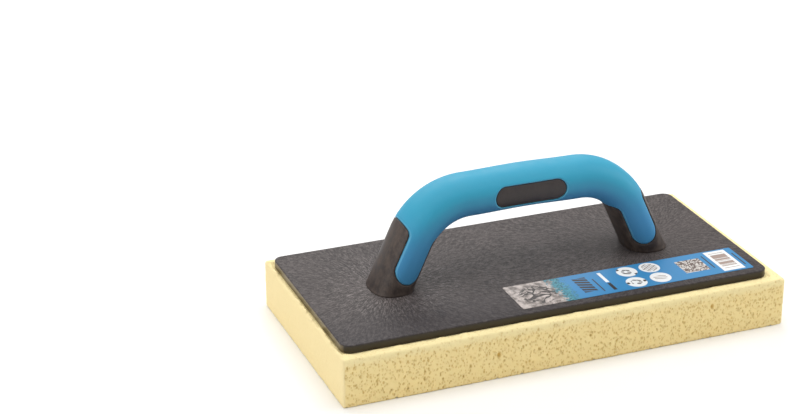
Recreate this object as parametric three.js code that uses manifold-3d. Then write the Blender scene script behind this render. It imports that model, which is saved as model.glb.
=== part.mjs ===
// Sponge grout float: a foam pad that a hook sheet holds under a moulded plate with a D-shaped handle.
// Millimetres. +X runs along the long side, +Y away from the labelled side, +Z up.
// The origin is under the middle of the pad, on the surface that the pad rests on.
import * as THREE from "three";
import { mergeVertices } from "three/addons/utils/BufferGeometryUtils.js";
import Module from "manifold-3d";

const wasm = await Module();
wasm.setup();

// Foam pad and the two sheets of the hook-and-loop joint
const PAD = { length: 280, width: 140, height: 28, corner: 2 };
const LOOP = { length: 256, width: 112, height: 0.8, corner: 4 };
const HOOK = { length: 252, width: 108, height: 0.7, corner: 4 };

// Plate, which sits a little off the middle of the pad
const PLATE = { length: 269.5, width: 126, height: 5, corner: 6, edge: 0.6 };
const PLATE_SHIFT = -2.4;

// Levels
const LOOP_BOTTOM = PAD.height;
const HOOK_BOTTOM = LOOP_BOTTOM + LOOP.height;
const PLATE_BOTTOM = HOOK_BOTTOM + HOOK.height;
const PLATE_TOP = PLATE_BOTTOM + PLATE.height;

// Label
const LABEL = { length: 151, width: 30, height: 0.15, corner: 1 };
const LABEL_CENTRE = new THREE.Vector2(52.5, -42.2);

// Handle: two leaning legs, two round corners and a slightly arched bar
const FOOT_X = 83;
const LEAN = THREE.MathUtils.degToRad(24.65);
const BEND_RADIUS = 37.6;
const BAR_RISE = 51;
const BAR_ARCH = 0.7;
const LEG_HALF_THICK = 11.6;
const BAR_HALF_THICK = 12.1;
const LEG_HALF_WIDE = 16.1;
const BAR_HALF_WIDE = 14.6;
const SECTION_POWER = 2.4;
const FOOT_FLARE = 0.4;
const FLARE_HEIGHT = 2.4;

// Soft grip moulded over the handle's core
const GRIP_WALL = 2.2;
const CLEARANCE = 0.25;
const COLLAR_OUTER = 40.3;
const COLLAR_INNER = 40.5;
const FILLET_OUTER = 5.6;
const FILLET_INNER = 6;
const TONGUE_HALF = 7.7;
const TONGUE_END = 15.4;
const WINDOW = { halfLength: 22.8, halfHeight: 6.7, rise: 50.6, shift: 1 };
const WINDOW_DROP = 0.5;

// Countersunk screws, driven up from under the plate
const SCREW = { headRadius: 4, rim: 0.4, coneHeight: 2, shankRadius: 2, straight: 14.5, length: 17.5 };
const SCREW_X = 80;
const SCREW_Y = 7;
const SCREW_GAP = 0.3;
const BORE_SPARE = 0.8;
const RECESS = { long: 4.2, wide: 0.9, deep: 1.3 };

// Fineness of the meshes, and how far cutters reach past what they cut
const RING_POINTS = 32;
const LEG_STEPS = 6;
const BEND_STEPS = 9;
const BAR_STEPS = 4;
const ROUND_SEGMENTS = 24;
const ARC_STEPS = 6;
const FLARE_STEPS = 4;
const EDGE_STEPS = 2;
const REACH = 16;
const PRISM_DEPTH = 4 * REACH;
const OVERCUT = 1;
const FAR = 140;
const MERGE_TOLERANCE = 1e-4;

// Colour, roughness and metalness of each material
const FOAM = { color: 0xf0dc98, roughness: 0.95, metalness: 0 };
const LOOP_CLOTH = { color: 0xe9e2cc, roughness: 0.95, metalness: 0 };
const HOOK_PLASTIC = { color: 0x1d1d1f, roughness: 0.8, metalness: 0 };
const PLATE_PLASTIC = { color: 0x48454a, roughness: 0.55, metalness: 0 };
const CORE_PLASTIC = { color: 0x393230, roughness: 0.6, metalness: 0 };
const GRIP_RUBBER = { color: 0x3d93bb, roughness: 0.6, metalness: 0 };
const LABEL_FILM = { color: 0x3f8cc8, roughness: 0.3, metalness: 0 };
const SCREW_STEEL = { color: 0xb8babd, roughness: 0.35, metalness: 1 };

function named(name, geometry, look) {
  const mesh = new THREE.Mesh(geometry, new THREE.MeshStandardMaterial(look));
  mesh.name = name;
  return mesh;
}

// A geometry as a closed solid that can be cut and joined.
function solid(geometry) {
  const bare = geometry.clone();
  bare.deleteAttribute("normal");
  bare.deleteAttribute("uv");
  const merged = mergeVertices(bare, MERGE_TOLERANCE);
  const vertProperties = new Float32Array(merged.getAttribute("position").array);
  const triVerts = new Uint32Array(merged.index.array);
  return new wasm.Manifold(new wasm.Mesh({ numProp: 3, vertProperties, triVerts }));
}

function geometryOf(body) {
  const mesh = body.getMesh();
  const geometry = new THREE.BufferGeometry();
  const corners = new Float32Array(mesh.vertProperties);
  geometry.setAttribute("position", new THREE.BufferAttribute(corners, 3));
  geometry.setIndex(new THREE.BufferAttribute(new Uint32Array(mesh.triVerts), 1));
  geometry.computeVertexNormals();
  return geometry;
}

// A rectangle with round corners, centred on the origin.
function roundedRectangle(length, width, radius) {
  const x = length / 2 - radius;
  const y = width / 2 - radius;
  const quarter = Math.PI / 2;
  const shape = new THREE.Shape();
  shape.absarc(x, y, radius, 0, quarter);
  shape.absarc(-x, y, radius, quarter, 2 * quarter);
  shape.absarc(-x, -y, radius, 2 * quarter, 3 * quarter);
  shape.absarc(x, -y, radius, 3 * quarter, 4 * quarter);
  return shape;
}

// A flat sheet or block standing on the given level, with its edges bevelled when size.edge is given.
function slab(size, level) {
  const edge = size.edge ?? 0;
  const outline = roundedRectangle(size.length - 2 * edge, size.width - 2 * edge, size.corner - edge);
  const geometry = new THREE.ExtrudeGeometry(outline, {
    depth: size.height - 2 * edge,
    curveSegments: ARC_STEPS,
    bevelEnabled: edge > 0,
    bevelSize: edge,
    bevelThickness: edge,
    bevelSegments: EDGE_STEPS,
  });
  return geometry.translate(0, 0, level + edge);
}

// A solid of revolution about +Z from [radius, height] pairs, starting and ending on the axis.
function turned(profile) {
  const points = profile.map(([radius, height]) => new THREE.Vector2(radius, height));
  return new THREE.LatheGeometry(points, ROUND_SEGMENTS).rotateX(Math.PI / 2);
}

// Skins a row of rings that have the same number of points, and closes both ends.
function loft(rings) {
  const count = rings[0].length;
  const index = [];
  for (let r = 0; r < rings.length - 1; r++) {
    for (let k = 0; k < count; k++) {
      const here = r * count + k;
      const beside = r * count + ((k + 1) % count);
      index.push(here, beside, beside + count, here, beside + count, here + count);
    }
  }
  const last = (rings.length - 1) * count;
  for (let k = 1; k < count - 1; k++) {
    index.push(0, k + 1, k, last, last + k, last + k + 1);
  }
  const geometry = new THREE.BufferGeometry().setFromPoints(rings.flat());
  geometry.setIndex(index);
  return geometry;
}

// Offsets [u, v] round a superellipse with the given half axes.
function superellipse(halfU, halfV) {
  const power = 2 / SECTION_POWER;
  return Array.from({ length: RING_POINTS }, (_, k) => {
    const angle = (2 * Math.PI * k) / RING_POINTS;
    const u = Math.sign(Math.cos(angle)) * Math.abs(Math.cos(angle)) ** power;
    const v = Math.sign(Math.sin(angle)) * Math.abs(Math.sin(angle)) ** power;
    return [halfU * u, halfV * v];
  });
}

const LEG_LENGTH = (BAR_RISE - BEND_RADIUS * (1 - Math.sin(LEAN))) / Math.cos(LEAN);
const BEND_CENTRE = legPoint(LEG_LENGTH, -BEND_RADIUS);

// A point in the handle's plane from its distance up the right leg's axis and its offset outwards from it.
function legPoint(along, across) {
  return new THREE.Vector2(
    FOOT_X - Math.sin(LEAN) * along + Math.cos(LEAN) * across,
    PLATE_TOP + Math.cos(LEAN) * along + Math.sin(LEAN) * across,
  );
}

function mirrored(point) {
  return new THREE.Vector2(-point.x, point.y);
}

// Stations of the right half of the handle's axis: the centre, outward direction and half sizes of a section.
function rightStations() {
  const stations = [];
  const outward = (angle) => new THREE.Vector2(Math.cos(angle), Math.sin(angle));
  for (let i = 0; i <= LEG_STEPS; i++) {
    const along = THREE.MathUtils.lerp(-REACH / 2, LEG_LENGTH, i / LEG_STEPS);
    const centre = legPoint(along, 0);
    stations.push({ centre, normal: outward(LEAN), halfThick: LEG_HALF_THICK, halfWide: LEG_HALF_WIDE });
  }
  for (let i = 1; i <= BEND_STEPS; i++) {
    const share = i / BEND_STEPS;
    const normal = outward(THREE.MathUtils.lerp(LEAN, Math.PI / 2, share));
    const centre = BEND_CENTRE.clone().addScaledVector(normal, BEND_RADIUS);
    const changed = THREE.MathUtils.smoothstep(share, 0, 1);
    const halfThick = THREE.MathUtils.lerp(LEG_HALF_THICK, BAR_HALF_THICK, changed);
    const halfWide = THREE.MathUtils.lerp(LEG_HALF_WIDE, BAR_HALF_WIDE, changed);
    stations.push({ centre, normal, halfThick, halfWide });
  }
  for (let i = 1; i <= BAR_STEPS; i++) {
    const share = i / BAR_STEPS;
    const arch = (BAR_ARCH * (1 - Math.cos(Math.PI * share))) / 2;
    const centre = new THREE.Vector2(BEND_CENTRE.x * (1 - share), PLATE_TOP + BAR_RISE + arch);
    const normal = outward(Math.PI / 2);
    stations.push({ centre, normal, halfThick: BAR_HALF_THICK, halfWide: BAR_HALF_WIDE });
  }
  return stations;
}

// The swept D from foot to foot, drawn in by the inset all round. It runs on below the plate's top.
function sweptHandle(inset) {
  const right = rightStations();
  const left = right.slice(0, -1).reverse().map((station) => ({
    ...station,
    centre: mirrored(station.centre),
    normal: mirrored(station.normal),
  }));
  const rings = [...right, ...left].map(({ centre, normal, halfThick, halfWide }) =>
    superellipse(halfThick - inset, halfWide - inset).map(
      ([u, v]) => new THREE.Vector3(centre.x + normal.x * u, v, centre.y + normal.y * u),
    ),
  );
  return solid(loft(rings));
}

// Points along an arc in leg coordinates, as [along, across] pairs, from one angle to another in degrees.
function legArc(along, across, radius, from, to) {
  return Array.from({ length: ARC_STEPS + 1 }, (_, i) => {
    const angle = THREE.MathUtils.degToRad(THREE.MathUtils.lerp(from, to, i / ARC_STEPS));
    return legPoint(along + radius * Math.sin(angle), across + radius * Math.cos(angle));
  });
}

// The grip's lower border on the right leg, from outside to inside: collar, fillet, tongue, fillet, collar.
function tongueBorder(grow) {
  const half = TONGUE_HALF + grow;
  const outer = FILLET_OUTER - grow;
  const inner = FILLET_INNER - grow;
  const outerCollar = COLLAR_OUTER - grow;
  const innerCollar = COLLAR_INNER - grow;
  return [
    legPoint(outerCollar, REACH),
    ...legArc(outerCollar - outer, half + outer, outer, 90, 180),
    ...legArc(TONGUE_END, 0, half, 0, -180),
    ...legArc(innerCollar - inner, -half - inner, inner, 0, 90),
    legPoint(innerCollar, -REACH),
  ];
}

// Everything that the grip covers, as a prism across the handle. A positive grow widens it.
function gripPrism(grow) {
  const right = tongueBorder(grow);
  const left = right.map(mirrored).reverse();
  const top = [new THREE.Vector2(-FAR, FAR), new THREE.Vector2(FAR, FAR)];
  return prism(new THREE.Shape([...right, ...left, ...top]));
}

// The stadium-shaped window on both sides of the bar. A positive grow widens it.
function windowPrism(grow) {
  const halfLength = WINDOW.halfLength + grow;
  const halfHeight = WINDOW.halfHeight + grow;
  const stadium = roundedRectangle(2 * halfLength, 2 * halfHeight, halfHeight);
  return prism(stadium).translate([WINDOW.shift, 0, PLATE_TOP + WINDOW.rise]);
}

// Extrudes an outline of the XZ plane along Y, past both sides of the handle.
function prism(shape) {
  const settings = { depth: PRISM_DEPTH, curveSegments: ARC_STEPS, bevelEnabled: false };
  const geometry = new THREE.ExtrudeGeometry(shape, settings);
  return solid(geometry.rotateX(Math.PI / 2).translate(0, PRISM_DEPTH / 2, 0));
}

// A short skirt round the foot of one leg: level sections that widen towards the plate.
function footSkirt(side) {
  const rings = Array.from({ length: FLARE_STEPS + 1 }, (_, i) => {
    const height = (FLARE_HEIGHT * i) / FLARE_STEPS;
    const spread = FOOT_FLARE * (1 - i / FLARE_STEPS) ** 2 - CLEARANCE * (i / FLARE_STEPS);
    const middle = side * (FOOT_X - Math.tan(LEAN) * height);
    const halfLong = LEG_HALF_THICK / Math.cos(LEAN) + spread;
    return superellipse(halfLong, LEG_HALF_WIDE + spread).map(
      ([u, v]) => new THREE.Vector3(middle + u, v, PLATE_TOP + height),
    );
  });
  return solid(loft(rings));
}

// A round blind bore for a screw, open at the foot.
function screwBore(x, y) {
  const radius = SCREW.shankRadius + SCREW_GAP;
  const top = SCREW.length - PLATE.height + BORE_SPARE;
  const profile = [[0, -OVERCUT], [radius, -OVERCUT], [radius, top], [0, top]];
  return solid(turned(profile).translate(x, y, PLATE_TOP));
}

function screwPlaces() {
  const places = [];
  for (const [sideName, side] of [["left", -1], ["right", 1]]) {
    for (const [endName, end] of [["front", -1], ["rear", 1]]) {
      places.push({ name: `screw_${sideName}_${endName}`, x: side * SCREW_X, y: end * SCREW_Y });
    }
  }
  return places;
}

function belowPlateTop() {
  const geometry = new THREE.BoxGeometry(2 * FAR, FAR, FAR);
  return solid(geometry.translate(0, 0, PLATE_TOP - FAR / 2));
}

function handleCore() {
  const shell = sweptHandle(0).subtract(gripPrism(CLEARANCE));
  const spine = sweptHandle(GRIP_WALL + CLEARANCE);
  const lands = sweptHandle(WINDOW_DROP).intersect(windowPrism(-CLEARANCE));
  let core = shell.add(spine).add(lands).subtract(belowPlateTop());
  for (const side of [-1, 1]) {
    core = core.add(footSkirt(side));
  }
  for (const { x, y } of screwPlaces()) {
    core = core.subtract(screwBore(x, y));
  }
  return named("handle_core", geometryOf(core), CORE_PLASTIC);
}

function gripSleeve() {
  const sleeve = sweptHandle(0)
    .intersect(gripPrism(0))
    .subtract(sweptHandle(GRIP_WALL))
    .subtract(windowPrism(0));
  return named("grip_sleeve", geometryOf(sleeve), GRIP_RUBBER);
}

function basePlate() {
  let plate = solid(slab(PLATE, PLATE_BOTTOM));
  const rim = SCREW.headRadius + SCREW_GAP;
  const hole = SCREW.shankRadius + SCREW_GAP;
  const coneTop = SCREW.rim + SCREW.coneHeight;
  const above = PLATE.height + OVERCUT;
  const head = [[0, -OVERCUT], [rim, -OVERCUT], [rim, SCREW.rim]];
  const profile = [...head, [hole, coneTop], [hole, above], [0, above]];
  for (const { x, y } of screwPlaces()) {
    plate = plate.subtract(solid(turned(profile).translate(x, y, PLATE_BOTTOM)));
  }
  return named("base_plate", geometryOf(plate), PLATE_PLASTIC);
}

// A countersunk self-tapping screw with a cross recess, its head level with the plate's underside.
function screw({ name, x, y }) {
  const { headRadius, rim, coneHeight, shankRadius, straight, length } = SCREW;
  const head = [[0, 0], [headRadius, 0], [headRadius, rim], [shankRadius, rim + coneHeight]];
  const shank = [[shankRadius, straight], [0, length]];
  let body = solid(turned([...head, ...shank]));
  for (const [sizeX, sizeY] of [[RECESS.long, RECESS.wide], [RECESS.wide, RECESS.long]]) {
    body = body.subtract(solid(new THREE.BoxGeometry(sizeX, sizeY, 2 * RECESS.deep)));
  }
  return named(name, geometryOf(body).translate(x, y, PLATE_BOTTOM), SCREW_STEEL);
}

function padBody() {
  const body = new THREE.Group();
  body.add(named("sponge_pad", slab(PAD, 0), FOAM));
  body.add(named("loop_backing", slab(LOOP, LOOP_BOTTOM).translate(PLATE_SHIFT, 0, 0), LOOP_CLOTH));
  return body;
}

function floatBody() {
  const body = new THREE.Group();
  body.add(named("hook_sheet", slab(HOOK, HOOK_BOTTOM), HOOK_PLASTIC));
  body.add(basePlate());
  const label = slab(LABEL, PLATE_TOP).translate(LABEL_CENTRE.x, LABEL_CENTRE.y, 0);
  body.add(named("label", label, LABEL_FILM));
  body.add(handleCore());
  body.add(gripSleeve());
  body.add(...screwPlaces().map(screw));
  body.position.x = PLATE_SHIFT;
  return body;
}

const group = new THREE.Group();
group.add(padBody(), floatBody());

export default group;
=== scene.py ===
"""Sponge grout float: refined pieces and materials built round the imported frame.

Shapes are worked out in millimetres in the row frame and become metres when they turn into meshes.
"""

import functools
import math

import bpy
import numpy as np
from mathutils import Matrix, Vector


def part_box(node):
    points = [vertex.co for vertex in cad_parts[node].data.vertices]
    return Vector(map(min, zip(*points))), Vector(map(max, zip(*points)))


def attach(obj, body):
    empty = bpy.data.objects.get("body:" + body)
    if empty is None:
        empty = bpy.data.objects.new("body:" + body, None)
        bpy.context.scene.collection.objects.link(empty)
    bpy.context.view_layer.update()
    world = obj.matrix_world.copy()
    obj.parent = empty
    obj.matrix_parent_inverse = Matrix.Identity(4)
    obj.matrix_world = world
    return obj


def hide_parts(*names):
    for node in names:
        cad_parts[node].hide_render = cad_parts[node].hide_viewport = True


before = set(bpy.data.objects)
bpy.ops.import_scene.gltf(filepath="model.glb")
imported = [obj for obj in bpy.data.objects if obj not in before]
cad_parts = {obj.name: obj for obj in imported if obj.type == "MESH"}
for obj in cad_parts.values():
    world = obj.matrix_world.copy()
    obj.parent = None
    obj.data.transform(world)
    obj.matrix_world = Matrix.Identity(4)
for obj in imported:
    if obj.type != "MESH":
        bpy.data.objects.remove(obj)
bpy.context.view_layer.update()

MM = 0.001
TINY = 1e-6


def box_mm(node):
    """Lowest and highest corner of a CAD node, in millimetres."""
    low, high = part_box(node)
    return np.array(low) / MM, np.array(high) / MM


PAD_LOW, PAD_HIGH = box_mm("sponge_pad")
LOOP_LOW, LOOP_HIGH = box_mm("loop_backing")
HOOK_LOW, HOOK_HIGH = box_mm("hook_sheet")
PLATE_LOW, PLATE_HIGH = box_mm("base_plate")
LABEL_LOW, _ = box_mm("label")
PLATE_CENTRE_X = (PLATE_LOW[0] + PLATE_HIGH[0]) / 2
PLATE_TOP = PLATE_HIGH[2]

# Handle, as in the CAD source, from the middle of the plate's top
FOOT_X = 83.0
LEAN = math.radians(24.65)
BEND_RADIUS = 37.6
BAR_RISE = 51.0
BAR_ARCH = 0.7
LEG_HALF_THICK = 11.6
BAR_HALF_THICK = 12.1
LEG_HALF_WIDE = 16.1
BAR_HALF_WIDE = 14.6
SECTION_POWER = 2.4
FOOT_FLARE = 0.4
FLARE_HEIGHT = 2.4
FOOT_EDGE = 0.5
GRIP_EDGE = 0.8
CORE_EDGE = 0.35
GRIP_WALL = 2.2
CLEARANCE = 0.25
COLLAR_OUTER = 40.3
COLLAR_INNER = 40.5
FILLET_OUTER = 5.6
FILLET_INNER = 6.0
TONGUE_HALF = 7.7
TONGUE_END = 15.4
WINDOW_HALF_LENGTH = 22.8
WINDOW_HALF_HEIGHT = 6.7
WINDOW_RISE = 50.6
WINDOW_SHIFT = 1.0
WINDOW_DROP = 0.5
SCREW_X = 80.0
SCREW_Y = 7.0
BORE_RADIUS = 2.3
BORE_DEPTH = 13.3
LEG_LENGTH = (BAR_RISE - BEND_RADIUS * (1 - math.sin(LEAN))) / math.cos(LEAN)
BEND_X = FOOT_X - math.sin(LEAN) * LEG_LENGTH - math.cos(LEAN) * BEND_RADIUS
BEND_Z = BAR_RISE - BEND_RADIUS

# Meshes grown from fields: their fineness in millimetres, and how many cells the grid reaches past a
# shape, where the extra half cell below keeps the grid's points off the shape's flat bottom
HANDLE_CELL = 0.62
FOAM_CELL = 0.6
FOAM_TRIANGLES = 188000
MARGIN_CELLS = 2
BELOW_CELLS = 2.5
SETTLE_STEPS = 3
SLOPE_STEP = 0.02
LEAST_SLOPE = 0.2

# Camera, fitted to the straight edges in the photo. Lengths in millimetres, from the origin
CAMERA_AZIMUTH = math.radians(-21.267)
CAMERA_ELEVATION = math.radians(23.612)
CAMERA_ROLL = math.radians(-0.229)
CAMERA_DISTANCE = 1198.1
CAMERA_TARGET_HEIGHT = 20.0
CAMERA_SIDESTEP = -73.43
CAMERA_LIFT = 46.71
SENSOR_WIDTH = 36.0
LENS = 89.41
CAMERA_CLIP = (0.05, 50)

# Studio, in metres. Each soft box has a name, a place, a size and a power in watts.
FLOOR_REACH = 6.0
LIGHT_TARGET = Vector((0, 0, 0.03))
WORLD_LIGHT = 0.35
SOFT_BOXES = [
    ("overhead", (0, 0, 1.6), (1.6, 1.6), 16.5),
    ("left", (-1.4, -0.1, 0.6), (0.8, 0.8), 5.0),
    ("back_left", (-1.0, 0.9, 1.1), (0.9, 0.9), 1.5),
    ("right", (1.4, -0.2, 0.7), (0.8, 0.8), 8.0),
    ("back", (0.2, 1.5, 0.9), (1.2, 0.8), 12),
]


# ---------- camera, floor and light

def add_camera():
    azimuth, elevation = CAMERA_AZIMUTH, CAMERA_ELEVATION
    back = Vector((
        math.sin(azimuth) * math.cos(elevation),
        -math.cos(azimuth) * math.cos(elevation),
        math.sin(elevation),
    ))
    level_right = (-back).cross(Vector((0, 0, 1))).normalized()
    level_up = level_right.cross(-back)
    right = level_right * math.cos(CAMERA_ROLL) + level_up * math.sin(CAMERA_ROLL)
    up = level_up * math.cos(CAMERA_ROLL) - level_right * math.sin(CAMERA_ROLL)
    place = Vector((0, 0, CAMERA_TARGET_HEIGHT)) + back * CAMERA_DISTANCE
    place += right * CAMERA_SIDESTEP + up * CAMERA_LIFT
    data = bpy.data.cameras.new("camera")
    data.sensor_width = SENSOR_WIDTH
    data.lens = LENS
    data.clip_start, data.clip_end = CAMERA_CLIP
    camera = bpy.data.objects.new("camera", data)
    bpy.context.scene.collection.objects.link(camera)
    turn = Matrix((right, up, back)).transposed().to_4x4()
    camera.matrix_world = Matrix.Translation(place * MM) @ turn
    bpy.context.scene.camera = camera


def add_area_light(name, place, size, power):
    data = bpy.data.lights.new(name, "AREA")
    data.shape = "RECTANGLE"
    data.size, data.size_y = size
    data.energy = power
    light = bpy.data.objects.new(name, data)
    bpy.context.scene.collection.objects.link(light)
    light.location = place
    light.rotation_euler = (LIGHT_TARGET - Vector(place)).to_track_quat("-Z", "Y").to_euler()


def add_world():
    scene = bpy.context.scene
    scene.view_settings.view_transform = "Standard"
    world = bpy.data.worlds.new("studio")
    scene.world = world
    world.use_nodes = True
    background = world.node_tree.nodes["Background"]
    background.inputs["Color"].default_value = (1.0, 1.0, 1.0, 1)
    background.inputs["Strength"].default_value = WORLD_LIGHT


def add_floor():
    reach = FLOOR_REACH
    corners = [(-reach, -reach, 0), (reach, -reach, 0), (reach, reach, 0), (-reach, reach, 0)]
    mesh = bpy.data.meshes.new("floor")
    mesh.from_pydata(corners, [], [(0, 1, 2, 3)])
    floor = bpy.data.objects.new("floor", mesh)
    bpy.context.scene.collection.objects.link(floor)
    mesh.materials.append(floor_material())


def add_studio():
    add_world()
    for name, place, size, power in SOFT_BOXES:
        add_area_light(name, place, size, power)
    add_floor()


# ---------- materials

# Colours are linear red, green and blue. A pair holds the two ends of a slight variation.
FLOOR_TONES = ((0.93, 0.93, 0.93), (0.95, 0.95, 0.95))
FOAM_TONES = ((1.0, 0.78, 0.36), (1.0, 0.83, 0.42))
# Lighter colour of the top face and of the top band of the sides: painted light where the top catches the
# overhead light
FOAM_SKIN_AND_TOP_LIGHT = (1.0, 0.85, 0.46)
FOAM_END_FACE = (0.94, 0.78, 0.43)
# Darker ochre in the pores too small for the mesh: painted shade inside them
FOAM_PORE_SHADE = (0.80, 0.56, 0.20)
# Darker ochre deep in the cut pores: painted shade in the recesses
FOAM_DEEP_PORE_SHADE = (0.64, 0.41, 0.11)
# Lit and shaded copies of the grip's blue: painted light above, painted shade below
GRIP_LIT_UPPER_TONES = ((0.030, 0.330, 0.500), (0.036, 0.355, 0.530))
GRIP_SHADED_LOWER_TONES = ((0.052, 0.275, 0.530), (0.060, 0.300, 0.560))
# Painted shade on the grip's faces turned down
GRIP_UNDERSIDE_SHADE = (0.046, 0.210, 0.400)
# Paler blue along the grip's borders: painted highlight on the rounded lip
GRIP_LIP_HIGHLIGHT = (0.18, 0.55, 0.75)
CORE_LEG_TONES = ((0.038, 0.027, 0.024), (0.100, 0.073, 0.058))
CORE_WINDOW_TONES = ((0.042, 0.033, 0.032), (0.058, 0.047, 0.044))
PLATE_TONES = ((0.024, 0.019, 0.018), (0.041, 0.032, 0.031))
PLATE_STREAK = (0.140, 0.115, 0.108)
PLATE_SPECK = (0.105, 0.087, 0.083)
PLATE_FLOW_MARK = (0.30, 0.26, 0.25)
# Darker towards the front of the plate's top: painted shade
PLATE_FRONT_SHADE = (0.018, 0.014, 0.017)
PLATE_SIDE_TONES = ((0.026, 0.019, 0.011), (0.034, 0.026, 0.015))
# Lighter olive on the plate's left end: painted light and reflection from the left and from the foam
PLATE_LEFT_SIDE_LIGHT = (0.125, 0.092, 0.040)
STEEL_TONES = ((0.52, 0.53, 0.55), (0.68, 0.68, 0.70))
HOOK_TONES = ((0.012, 0.012, 0.013), (0.035, 0.035, 0.037))
LOOP_TONES = ((0.58, 0.54, 0.40), (0.86, 0.82, 0.68))
STONE_TONES = ((0.14, 0.115, 0.10), (0.60, 0.52, 0.48))
STONE_DARK = (0.045, 0.036, 0.032)
SPLASH_TONES = ((0.020, 0.12, 0.16), (0.06, 0.30, 0.38))
LABEL_BLUE = (0.036, 0.225, 0.470)
LABEL_BLUE_PALER = tuple(1.06 * part for part in LABEL_BLUE)
INK = (0.030, 0.026, 0.026)
SOFT_INK = (0.26, 0.21, 0.18)
PAPER = (0.84, 0.84, 0.83)
SQUARE_CODE_TONES = ((0.62, 0.58, 0.54), (0.14, 0.10, 0.085))
BAR_CODE_INK = (0.36, 0.27, 0.23)

# Heights over which the looks change, in metres above the floor: the grip's painted shade below giving way
# to its painted light above, and the core's legs giving way to its window
GRIP_SHADE_SPAN = (0.055, 0.085)
WINDOW_SPAN = (0.072, 0.078)

# How far a face looks up, from -1 to 1, for the painted shade on faces turned down, and how near a border
# lies, in millimetres, for the painted highlight along the lip, on the soft grip
UNDERSIDE_SHADE_SPAN = (-0.5, 0.35)
LIP_HIGHLIGHT_SPAN = (0.3, 0.9)
LIP_HIGHLIGHT_STRENGTH = 0.40

# Where the foam's looks change: millimetres in from its ends, down from its top for the smoother top band
# with its painted light, and down in a pore for the painted shade in it
END_FACE_SPAN = (2, 0.6)
SKIN_AND_TOP_LIGHT_SPAN = (6, 1)
DEEP_PORE_SHADE_SPAN = (0.1, 1.3)
PORES_ON_ENDS = 0.12
PORES_ON_SKIN = 0.35

# Where the plate's looks change: millimetres down from its top, and in from its left end, where painted
# light and reflection from the left lie on the side
PLATE_TOP_SPAN = (0.7, 0.2)
PLATE_LEFT_LIGHT_SPAN = (0.6, 1.6)

# Foam pores as a pattern: spacing in millimetres, then size as a share of the spacing
WIDE_PORES = (1.9, 0.20)
SMALL_PORES = (1.2, 0.22)
SMALL_PORE_STRENGTH = 0.6
PORE_FLATTENING = 0.55
PORE_VARIETY = 1.5
SMALLEST_PORE = 0.20
PORE_EDGE = (-0.06, 0.14)

# Flow marks on the plate, in metres: how far round a foot they are spread for each radian, how far
# they waver, over how many millimetres, and how far out they show beside the left and the right foot
FLOW_WIDTH = 0.10
FLOW_WAVER = (0.004, 0.004, 0.008)
FLOW_WAVER_SIZE = 16
LEFT_MARK_SPAN = (0.018, 0.050)
RIGHT_MARK_SPAN = (0.018, 0.034)
FLOW_CHANGEOVER = (-0.03, 0.03)
# Where the painted shade on the plate's top fades out, in metres along y from the front
PLATE_FRONT_SHADE_SPAN = (-0.058, -0.010)


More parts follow.
